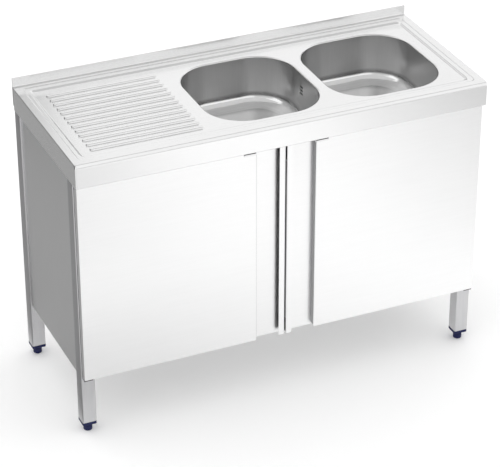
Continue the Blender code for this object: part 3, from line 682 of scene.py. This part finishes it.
def makeOverflowShadeSeal(side, x, toward):
    # rubber round the slots, black so that it stands in for painted shade inside them and leaves
    # them dark from the bowl
    size = overflowShadeSeal
    face = x + toward * (bowlShape["width"] / 2 + bowlShape["sheet"] + size["gap"])
    wide, high = size["half"]
    bm = bmesh.new()
    rings = []
    for reach, inset in size["shape"]:
        loop = roundedLoop(bowlShape["slotY"], deck - bowlShape["slotDrop"], wide - inset,
                           high - inset, size["corner"], size["cornerSteps"])
        rings.append(ringAt(bm, loop, face + toward * reach, 0))
    addPiece(side + "OverflowShadeSeal", loftSolid(bm, rings), "cabinet", "black_rubber")


for side, x, toward in bowlShape["places"]:
    makeBowl(side, x, toward)
    makeOverflowShadeSeal(side, x, toward)
print("upstand and bowls made")


# Wastes: dished flange, punched strainer, rubber ring and a moulded tail with a ribbed nut

waste = {
    "seat": 0.6933, "rim": 0.0345, "neck": 0.0249, "bore": 0.0234, "neckLong": 0.02, "steps": 56,
    # radius, and height over the seat
    "flange": ((0.0345, 0), (0.0345, 0.0005), (0.0341, 0.0011), (0.0332, 0.0016), (0.0319, 0.0018),
               (0.0290, 0.0015), (0.0268, 0.0008), (0.0251, -0.0004), (0.0240, -0.0018),
               (0.0234, -0.0034)),
}
strainer = {"drop": 0.007, "plate": 0.0015, "flat": 0.0222, "play": 0.0003, "soft": 0.0004,
            "holes": 6, "hole": 0.004, "reach": 0.01, "holeSteps": 24}
sealingRing = {"drop": 0.0016, "thick": 0.003, "soft": 0.0008, "play": 0.0003}
tail = {
    # radius, and height under the sealing ring for the nut, under the neck for the pipe
    "nut": ((0.0252, 0), (0.0329, 0), (0.0333, -0.0006), (0.0333, -0.0094), (0.0325, -0.01),
            (0.0298, -0.0118), (0.0292, -0.0126)),
    "pipe": ((0.0292, -0.001), (0.0286, -0.002), (0.0206, -0.0072), (0.02, -0.0088),
             (0.02, -0.1094), (0.0194, -0.11), (0.0182, -0.11), (0.0182, -0.004), (0.0252, 0)),
    "gap": 0.0003,
}
nutRibs = {"count": 18, "radius": 0.0327, "drop": 0.005, "half": (0.0016, 0.0017), "corner": 0.0007,
           "shape": ((-0.0046, 0.5), (-0.004, 1.0), (0.004, 1.0), (0.0046, 0.5))}


def makeFlange(side, x):
    seat, low = waste["seat"], waste["seat"] - waste["neckLong"]
    profile = [(r, seat + up) for r, up in waste["flange"]]
    profile += [(waste["bore"], low), (waste["neck"], low), (waste["neck"], seat)]
    bm = turnedMesh(profile, waste["steps"], (x, 0, 0))
    addPiece(side + "WasteFlange", bm, "cabinet", "bowl_steel", "waste_flange_" + side)


def makeStrainer(side, x):
    size = strainer
    steel = finishes["bowl_steel"]
    top, edge = waste["seat"] - size["drop"], waste["bore"] - size["play"]
    low = top - size["plate"]
    disc = [(0, top), (size["flat"], top), (edge, top - size["soft"]), (edge, low), (0, low)]
    bm = turnedMesh(disc, waste["steps"], (x, 0, 0), closed=False)
    piece = newPiece(side + "Strainer", bm, steel)
    hole, reach, steps = size["hole"], size["reach"], size["holeSteps"]
    pin = [(0, -reach), (hole, -reach), (hole, reach), (0, reach)]
    around = newPiece("strainerHoles", turnedMesh(pin, steps, closed=False), steel)
    repeatPiece(around, ringSet, count=size["holes"], radius=waste["bore"] / 2, middle=(x, 0, top),
                finish=steel)
    centre = newPiece("centreHole", turnedMesh(pin, steps, (x, 0, top), closed=False), steel)
    cutPiece(piece, [around, centre], crease)
    placePiece(piece, "cabinet", "bowl_steel", "waste_strainer_" + side)


def makeSealAndTail(side, x):
    size = sealingRing
    rim, hole, soft = waste["rim"], waste["neck"] + size["play"], size["soft"]
    high = waste["seat"] - size["drop"]
    low = high - size["thick"]
    ring = [(hole, high), (rim - soft, high), (rim, high - soft), (rim, low + soft),
            (rim - soft, low), (hole, low)]
    bm = turnedMesh(ring, waste["steps"], (x, 0, 0))
    addPiece(side + "SealingRing", bm, "cabinet", "black_rubber", "waste_gasket_" + side)
    high = low - tail["gap"]
    shoulder = waste["seat"] - waste["neckLong"] - tail["gap"]
    profile = [(r, high + up) for r, up in tail["nut"]]
    profile += [(r, shoulder + up) for r, up in tail["pipe"]]
    bm = turnedMesh(profile, waste["steps"], (x, 0, 0))
    addPiece(side + "WasteTail", bm, "cabinet", "white_plastic", "waste_tail_" + side)
    size = nutRibs
    bm = bmesh.new()
    rings = []
    for z, wide in size["shape"]:
        loop = roundedLoop(0, 0, size["half"][0] * wide, size["half"][1] * wide,
                           size["corner"] * wide, 3)
        rings.append(ringAt(bm, loop, z))
    plastic = finishes["white_plastic"]
    piece = newPiece(side + "NutRibs", loftSolid(bm, rings), plastic)
    repeatPiece(piece, ringSet, count=size["count"], radius=size["radius"],
                middle=(x, 0, high - size["drop"]), finish=plastic)
    placePiece(piece, "cabinet", "white_plastic")


for side, x, toward in bowlShape["places"]:
    makeFlange(side, x)
    makeStrainer(side, x)
    makeSealAndTail(side, x)
print("wastes made")


# Legs and plugs: the same tube and moulding at the four corners

legs = {"size": 0.04, "wall": 0.0015, "low": 0.0328, "high": 0.8415, "corner": 0.003,
        "innerCorner": 0.0015, "cornerSteps": 8, "soft": 0.0003,
        "x": 0.5785, "front": -0.1975, "rear": 0.2267}
plugs = {"low": 0.0237, "high": 0.0325, "edge": 0.0012, "spigot": 0.02, "lead": 0.002,
         "bore": 0.0041, "play": 0.0003, "soft": 0.0003, "corner": 0.003}


def atCorners(name, bm, slotName, node):
    piece = newPiece(name, bm, finishes[slotName])
    repeatPiece(piece, cornerSet, width=2 * legs["x"], depth=legs["rear"] - legs["front"],
                middle=(0, (legs["front"] + legs["rear"]) / 2, 0), finish=finishes[slotName])
    names = [node + "_" + row + "_" + side for row in ("front", "rear") for side, sign in sides]
    placePiece(piece, "cabinet", slotName, *names)


def makeLegs():
    size = legs
    half, soft, corner, steps = size["size"] / 2, size["soft"], size["corner"], size["cornerSteps"]
    inner = half - size["wall"]
    outside = roundedLoop(0, 0, half, half, corner, steps)
    eased = roundedLoop(0, 0, half - soft, half - soft, corner - soft, steps)
    inside = roundedLoop(0, 0, inner, inner, size["innerCorner"], steps)
    low, high = size["low"], size["high"]
    levels = ((inside, low), (eased, low), (outside, low + soft),
              (outside, high - soft), (eased, high), (inside, high))
    bm = bmesh.new()
    loftRings(bm, [ringAt(bm, loop, z) for loop, z in levels], True)
    atCorners("legTubes", bm, "leg_steel", "leg")


def plugLoop(half):
    return roundedLoop(0, 0, half, half, plugs["corner"], 6, 4)


def makePlugs():
    size = plugs
    half, edge, soft, lead = legs["size"] / 2, size["edge"], size["soft"], size["lead"]
    low, high = size["low"], size["high"]
    core, head = half - legs["wall"] - size["play"], high + size["spigot"]
    bore = circleFrom(plugLoop(half), 0, 0, size["bore"])
    levels = [(bore, low)]
    for t in shares(4):
        angle = math.pi / 2 * t
        inset, up = edge * (1 - math.sin(angle)), edge * (1 - math.cos(angle))
        levels.append((plugLoop(half - inset), low + up))
    levels += [(plugLoop(half), high - soft), (plugLoop(half - soft), high), (plugLoop(core), high),
               (plugLoop(core), head - lead), (plugLoop(core - lead), head), (bore, head)]
    bm = bmesh.new()
    loftRings(bm, [ringAt(bm, loop, z) for loop, z in levels], True)
    atCorners("legPlugs", bm, "navy_plastic", "plug")


makeLegs()
makePlugs()


# Shelf: a tray notched round the legs, folded down all round

shelf = {
    "top": 0.2, "low": 0.1862, "sheet": 0.001, "bend": 0.0025, "bendSteps": 6,
    "right": ((0.5582, -0.2172), (0.5582, -0.1759), (0.5912, -0.1759), (0.5912, 0.2051),
              (0.5582, 0.2051), (0.5582, 0.2247)),
}


def insetLoop(points, inset):
    made = []
    for i, (x, y) in enumerate(points):
        before = Vector((x - points[i - 1][0], y - points[i - 1][1])).normalized()
        after = points[(i + 1) % len(points)]
        after = Vector((after[0] - x, after[1] - y)).normalized()
        made.append((x - inset * (before.y + after.y), y + inset * (before.x + after.x)))
    return made


def makeShelf():
    size = shelf
    top, bend = size["top"], size["bend"]
    outline = list(size["right"]) + [(-x, y) for x, y in reversed(size["right"])]
    bm = bmesh.new()
    rings = []
    for t in shares(size["bendSteps"]):
        angle = math.pi / 2 * t
        inset, drop = bend * (1 - math.sin(angle)), bend * (1 - math.cos(angle))
        rings.append(ringAt(bm, insetLoop(outline, inset), top - drop))
    rings += [ringAt(bm, outline, z) for z in (top - bend - support, size["low"])]
    loftRings(bm, rings)
    inner = ringAt(bm, insetLoop(outline, bend + support), top)
    loftRings(bm, [rings[0], inner])
    bm.faces.new(inner)
    faceUp(bm, lambda face: face.calc_area())
    piece = newPiece("shelfTray", bm, finishes["panel_steel"], sheetCrease, outward=False)
    bakePiece(sheetWall(piece, size["sheet"]), sheetCrease)
    placePiece(piece, "cabinet", "panel_steel", "bottom_shelf")


makeShelf()


# Screw feet: a moulded knob on a threaded stud, each on its own body

feet = {
    "radius": 0.0125, "toe": 0.002, "toeStart": -72, "seat": 0.0234, "steps": 40,
    "side": ((0.0125, 0.0132), (0.0122, 0.0143), (0.0113, 0.0156), (0.0101, 0.0178),
             (0.0096, 0.0186), (0.0095, 0.0194), (0.0095, 0.023), (0.0091, 0.0234)),
    "stud": 0.004, "root": 0.0034, "studLong": 0.034, "pitch": 0.00125, "pitchSteps": 6,
    "fade": 0.0012,  # the thread runs out over this length
}


def threadLoop(z):
    size = feet
    crest = (size["stud"] - size["root"]) * min(1.0, (size["studLong"] - z) / size["fade"])
    loop = []
    for i in range(size["steps"]):
        turn = i / size["steps"]
        r = size["root"] + crest * abs(2 * ((z / size["pitch"] - turn) % 1.0) - 1)
        loop.append((r * math.cos(2 * math.pi * turn), r * math.sin(2 * math.pi * turn)))
    return loop


def makeFoot(row, side, x, y):
    size = feet
    inner, toe, seat = size["radius"] - size["toe"], size["toe"], size["seat"]
    knob = [(0, 0), (inner, 0)] + arcPoints(inner, toe, toe, size["toeStart"], 0, 4)
    knob += list(size["side"]) + [(size["root"], seat)]
    bm = turnedMesh(knob, size["steps"], closed=False)
    count = round(size["studLong"] / size["pitch"] * size["pitchSteps"])
    heights = [size["studLong"] * t for t in shares(count)]
    rings = [ringAt(bm, threadLoop(z), seat + z) for z in heights]
    loftRings(bm, rings)
    bm.faces.new(rings[-1])
    bmesh.ops.translate(bm, vec=(x, y, 0), verts=bm.verts)
    name = row + "_" + side
    addPiece(row + side.title() + "ScrewFoot", bm, name + "_foot", "navy_plastic", "foot_" + name,
             sharp=threadCrease)


for row in ("front", "rear"):
    for side, sign in sides:
        makeFoot(row, side, sign * legs["x"], legs[row])
print("legs, plugs and feet made")


# Door grips: a folded strip with a lip to pull on, and what is fitted to it

grip = {
    "sheet": 0.001, "bend": 0.002, "bendSteps": 6, "start": 0.1095, "meet": 0.003, "lip": 0.0195,
    "floor": -0.22, "face": -0.237, "low": 0.184, "high": 0.7775,
    "cuts": (((-0.002, 0.006), (-0.2345, -0.2225), (0.174, 0.234), 0.0008),
             ((-0.002, 0.006), (-0.2345, -0.2225), (0.7275, 0.7875), 0.0008)),
}
gripParts = {
    # pads where the doors meet, black so that they also stand in for painted shade at the ends of
    # the gap, and a black lining behind the lip that is painted shade in the channel
    "MeetingPadsAndShade": ("black_rubber", (
        ((0.0038, 0.0078), (-0.2338, -0.2232), (0.186, 0.233), 0.0008),
        ((0.0038, 0.0078), (-0.2338, -0.2232), (0.7285, 0.7755), 0.0008))),
    "LipShadeLining": ("black_rubber", (
        ((0.006, 0.0189), (-0.23648, -0.23558), (0.188, 0.7715), 0.0003),)),
    # edging on the skin's edge, inside the grip, grey so that it also stands in for painted shade
    # on that wall
    "GripEdgingShade": ("grey_nylon", (
        ((0.0868, 0.08745), (-0.236, -0.2208), (0.192, 0.7665), 0.0003),)),
    # a stop across the notch in the skin, with a dark buffer on it that is a painted shadow line
    # under the apron
    "NotchStop": ("door_steel", (
        ((0.0877, 0.1233), (-0.23748, -0.2365), (0.76955, 0.7723), 0.0002),)),
    "NotchShadowBuffer": ("black_rubber", (
        ((0.0883, 0.1229), (-0.2373, -0.2363), (0.77235, 0.7745), 0.0003),)),
    # a light strip in the gap between the doors, a painted reflection of the grips' folded edges
    "MeetingStripReflection": ("grey_nylon", (
        ((0.0021, 0.00252), (-0.236, -0.222), (0.236, 0.7255), 0.0001),)),
}


def makeGrip(side, sign):
    size = grip
    bend, floor, face, steps = size["bend"], size["floor"], size["face"], size["bendSteps"]
    middle = size["meet"] + bend
    path = [(size["start"], floor)] + arcPoints(middle, floor - bend, bend, 90, 180, steps)
    path += arcPoints(middle, face + bend, bend, 180, 270, steps) + [(size["lip"], face)]
    path = [(sign * x, y) for x, y in path]
    bm = bmesh.new()
    low, high = [ringAt(bm, path, z) for z in (size["low"], size["high"])]
    stripFaces(bm, high, low)
    steel = finishes["door_steel"]
    piece = newPiece(side + "DoorGrip", bm, steel, crease, outward=False)
    sheetWall(piece, size["sheet"], 0.0)
    cutPiece(piece, [newPiece(side + "GripCuts", blockMesh(size["cuts"], sign), steel)], crease)
    placePiece(piece, side + "_door", "door_steel", "door_grip_" + side)
    for label, (slotName, blocks) in gripParts.items():
        addPiece(side + label, blockMesh(blocks, sign), side + "_door", slotName)


for side, sign in sides:
    makeGrip(side, sign)
print("door grips made")


# Catches, strikes and bumpers: what the doors close against

catch = {
    # a housing with two ridges on its face, and two thin pole plates between them
    "body": (((0.025, 0.065), (-0.2163, -0.1977), (0.7632, 0.7852), 0.0014),
             ((0.031, 0.059), (-0.2173, -0.2137), (0.7765, 0.7809), 0.0006),
             ((0.031, 0.059), (-0.2173, -0.2137), (0.7675, 0.7719), 0.0006)),
    "poles": (((0.029, 0.061), (-0.2175, -0.2087), (0.7743, 0.775), 0.0003),
              ((0.029, 0.061), (-0.2175, -0.2087), (0.7733, 0.774), 0.0003)),
    "strike": (((0.029, 0.061), (-0.2192, -0.218375), (0.7642, 0.7772), 0.00035),),
    "screws": ((0.037, -0.21845, 0.7707), (0.053, -0.21845, 0.7707)),
}
screw = {
    "radius": 0.0026, "rise": 0.00045, "steps": 24,
    "shape": ((1.0, 0.0), (1.0, 0.25), (0.9, 0.6), (0.66, 0.88), (0.34, 1.0)),
    "cross": (0.31, 0.11), "floor": 0.3,  # the recess: its arms and corners, and where it ends
}
bumper = {
    "x": 0.5785, "z": 0.48075, "front": -0.2192, "back": -0.2178, "radius": 0.006, "steps": 32,
    "shape": ((0.98, 0.0), (1.0, 0.12), (1.0, 0.3), (0.93, 0.5), (0.82, 0.72), (0.66, 0.9),
              (0.45, 0.98), (0.2, 1.0)),
}
# a glide cap round the front of each lower hinge plate, black so that it is painted shade under the
# doors' outer corners, and a thin seal under the apron's hem that is a painted shadow line between
# apron and doors
shadeGlide = {"blocks": (((0.57, 0.595), (-0.2346, -0.2331), (0.1799, 0.183), 0.0004),)}
hemShadowSeal = {"blocks": (((-0.594, 0.594), (-0.2494, -0.2486), (0.7817, 0.7822), 0.0001),)}


def screwHead(bm, x, y, z):
    # a pan head with a cross recess pressed into it, facing backwards
    radius, rise, steps = screw["radius"], screw["rise"], screw["steps"]
    rings = [ringAt(bm, circle(x, z, radius * wide, steps), y + rise * up, 1)
             for wide, up in screw["shape"]]
    arm, corner = screw["cross"]
    cross = []
    for i in range(steps):
        reach = radius * (arm if i % 6 in (0, 1, 5) else corner)
        angle = 2 * math.pi * i / steps
        cross.append((x + reach * math.cos(angle), z + reach * math.sin(angle)))
    rings += [ringAt(bm, cross, y + rise * up, 1) for up in (1.0, screw["floor"])]
    loftSolid(bm, rings)


def makeCatch(side, sign):
    body, poles, plate = [blockMesh(catch[key], sign) for key in ("body", "poles", "strike")]
    addPiece(side + "CatchBody", body, "cabinet", "white_plastic", "catch_" + side)
    addPiece(side + "CatchPoles", poles, "cabinet", "pin_steel")
    for x, y, z in catch["screws"]:
        screwHead(plate, sign * x, y, z)
    addPiece(side + "StrikePlate", plate, side + "_door", "pin_steel", "strike_" + side)


def makeBumper(side, sign):
    size = bumper
    deep = size["back"] - size["front"]
    bm = bmesh.new()
    rings = []
    for wide, up in size["shape"]:
        loop = circle(sign * size["x"], size["z"], size["radius"] * wide, size["steps"])
        rings.append(ringAt(bm, loop, size["back"] - deep * up, 1))
    loftSolid(bm, rings)
    addPiece(side + "DoorBumper", bm, "cabinet", "black_rubber", "bumper_" + side)


for side, sign in sides:
    makeCatch(side, sign)
    makeBumper(side, sign)
for side, sign in sides:
    addPiece(side + "HingeGlideShade", blockMesh(shadeGlide["blocks"], sign), "cabinet", "black_rubber")
addPiece("apronShadowSeal", blockMesh(hemShadowSeal["blocks"]), "cabinet", "black_rubber")
print("catches, bumpers and seals made")


# Studio: pale floor, white surround, soft light, and grey cards that only the metal sees

studio = {"floor": "#f0f0f0", "floorSeen": "#ffffff", "dome": 1.15, "sky": 1.0, "floorHalf": 9.0,
          "rough": 0.95, "matLevel": 0.004}
mats = {
    # they lie flat over x and y; a fade runs from white at its first x to the tone at its second
    "leftMat": {"tone": "#9d9d9d", "x": (-2.6, -0.63), "y": (-0.35, 2.6)},
    "rightMat": {"tone": "#9d9d9d", "x": (0.66, 2.6), "y": (-0.2, 2.6)},
    "ceiling": {"tone": "#d0d0d0", "x": (-1.4, 2.2), "y": (-2.2, 1.0), "level": 2.8},
    "farMat": {"tone": "#c4c4c4", "x": (0.62, 3.2), "y": (-2.6, -0.7), "fade": (0.66, 1.78)},
    "frontMat": {"tone": "#dadada", "x": (-2.4, 0.3), "y": (-2.6, -1.15), "fade": (0.3, -0.4)},
    "nearMat": {"tone": "#e2e2e2", "x": (-2.4, 0.25), "y": (-0.86, -0.36), "fade": (0.25, -0.45)},
    "awayMat": {"tone": "#bcbcbc", "x": (-4.0, 6.0), "y": (-8.5, -3.4)},
}
flags = {
    # they stand upright between two points; low is their foot, high their head at each point
    "leftFlag": {"tone": "#343434", "from": (-3.2, -1.0), "to": (-0.9, 2.7),
                 "low": 0.0, "high": (2.0, 2.0)},
    "backFlag": {"tone": "#c0c0c0", "from": (-0.5, 3.0), "to": (0.45, 3.1),
                 "low": 2.2, "high": (3.5, 3.5)},
    "rightFlag": {"tone": "#484848", "from": (0.95, 3.25), "to": (3.6, 1.0),
                  "low": 0.0, "high": (1.45, 1.9)},
    "frontFlag": {"tone": "#c4c4c4", "from": (-3.6, -0.8), "to": (-0.9, -3.4),
                  "low": 1.6, "high": (4.2, 4.2)},
}


def mattMaterial(name):
    # no highlight at all, so only its tone shows
    made, tree, shader = newMaterial(name)
    shader.inputs["Roughness"].default_value = studio["rough"]
    shader.inputs["Specular IOR Level"].default_value = 0.0
    return made, tree, shader


def seenDirectly(tree):
    path = addNode(tree, "ShaderNodeLightPath").outputs
    either = addNode(tree, "ShaderNodeMath", {
        0: path["Is Camera Ray"], 1: path["Is Glossy Ray"]}, operation="MAXIMUM")
    either = addNode(tree, "ShaderNodeMath", {
        0: either.outputs[0], 1: path["Is Transmission Ray"]}, operation="MAXIMUM")
    return either.outputs[0]


def makeCard(name, card, corners):
    made, tree, shader = mattMaterial("matt grey card, " + name)
    shader.inputs["Base Color"].default_value = linear(card["tone"])
    if "fade" in card:
        place = addNode(tree, "ShaderNodeTexCoord").outputs["Object"]
        across = addNode(tree, "ShaderNodeSeparateXYZ", {0: place}).outputs[0]
        share = addNode(tree, "ShaderNodeMapRange", {
            "Value": across, "From Min": card["fade"][0], "From Max": card["fade"][1]})
        wash = addNode(tree, "ShaderNodeMix", {
            0: share.outputs[0], 6: linear("#ffffff"), 7: linear(card["tone"])}, data_type="RGBA")
        tree.links.new(wash.outputs[2], shader.inputs["Base Color"])
    bm = bmesh.new()
    bm.faces.new([bm.verts.new(corner) for corner in corners])
    piece = newPiece(name + "Card", bm, made, outward=False)
    piece.visible_camera = False
    piece.visible_diffuse = False
    piece.visible_transmission = False
    piece.visible_shadow = False


def makeFloor():
    bm = bmesh.new()
    bmesh.ops.create_grid(bm, x_segments=1, y_segments=1, size=studio["floorHalf"])
    made, tree, shader = mattMaterial("matt paper sweep")
    shade = addNode(tree, "ShaderNodeMix", {
        0: seenDirectly(tree), 6: linear(studio["floor"]), 7: linear(studio["floorSeen"])},
        data_type="RGBA")
    tree.links.new(shade.outputs[2], shader.inputs["Base Color"])
    floor = newPiece("floor", bm, made, outward=False)


def makeWorld():
    world = bpy.data.worlds.new("white studio")
    bpy.context.scene.world = world
    world.use_nodes = True
    tree = world.node_tree
    tree.nodes.clear()
    dome, white = [addNode(tree, "ShaderNodeBackground", {
        "Color": (1, 1, 1, 1), "Strength": studio[key]}).outputs[0] for key in ("dome", "sky")]
    mix = addNode(tree, "ShaderNodeMixShader", {0: seenDirectly(tree), 1: dome, 2: white})
    addNode(tree, "ShaderNodeOutputWorld", {"Surface": mix.outputs[0]})


makeFloor()
for name, card in mats.items():
    (x0, x1), (y0, y1), z = card["x"], card["y"], card.get("level", studio["matLevel"])
    makeCard(name, card, [(x0, y0, z), (x1, y0, z), (x1, y1, z), (x0, y1, z)])
for name, card in flags.items():
    heights = ((card["low"], card["low"]), card["high"])
    low, high = [[card["from"] + (z[0],), card["to"] + (z[1],)] for z in heights]
    makeCard(name, card, low + high[::-1])
makeWorld()

lens = {"place": (-2.1549, -4.8612, 3.4501), "down": 29.99, "aside": 23.89, "focal": 155.67,
        "sensor": 36, "far": 60}


def makeCamera():
    data = bpy.data.cameras.new("camera")
    data.lens = lens["focal"]
    data.sensor_width = lens["sensor"]
    data.sensor_fit = "HORIZONTAL"
    data.clip_end = lens["far"]
    camera = bpy.data.objects.new("camera", data)
    camera.location = lens["place"]
    camera.rotation_euler = (math.radians(90 - lens["down"]), 0, math.radians(-lens["aside"]))
    bpy.context.scene.collection.objects.link(camera)
    bpy.context.scene.camera = camera


makeCamera()
bpy.context.scene.view_settings.view_transform = "Standard"
print("studio and camera set")
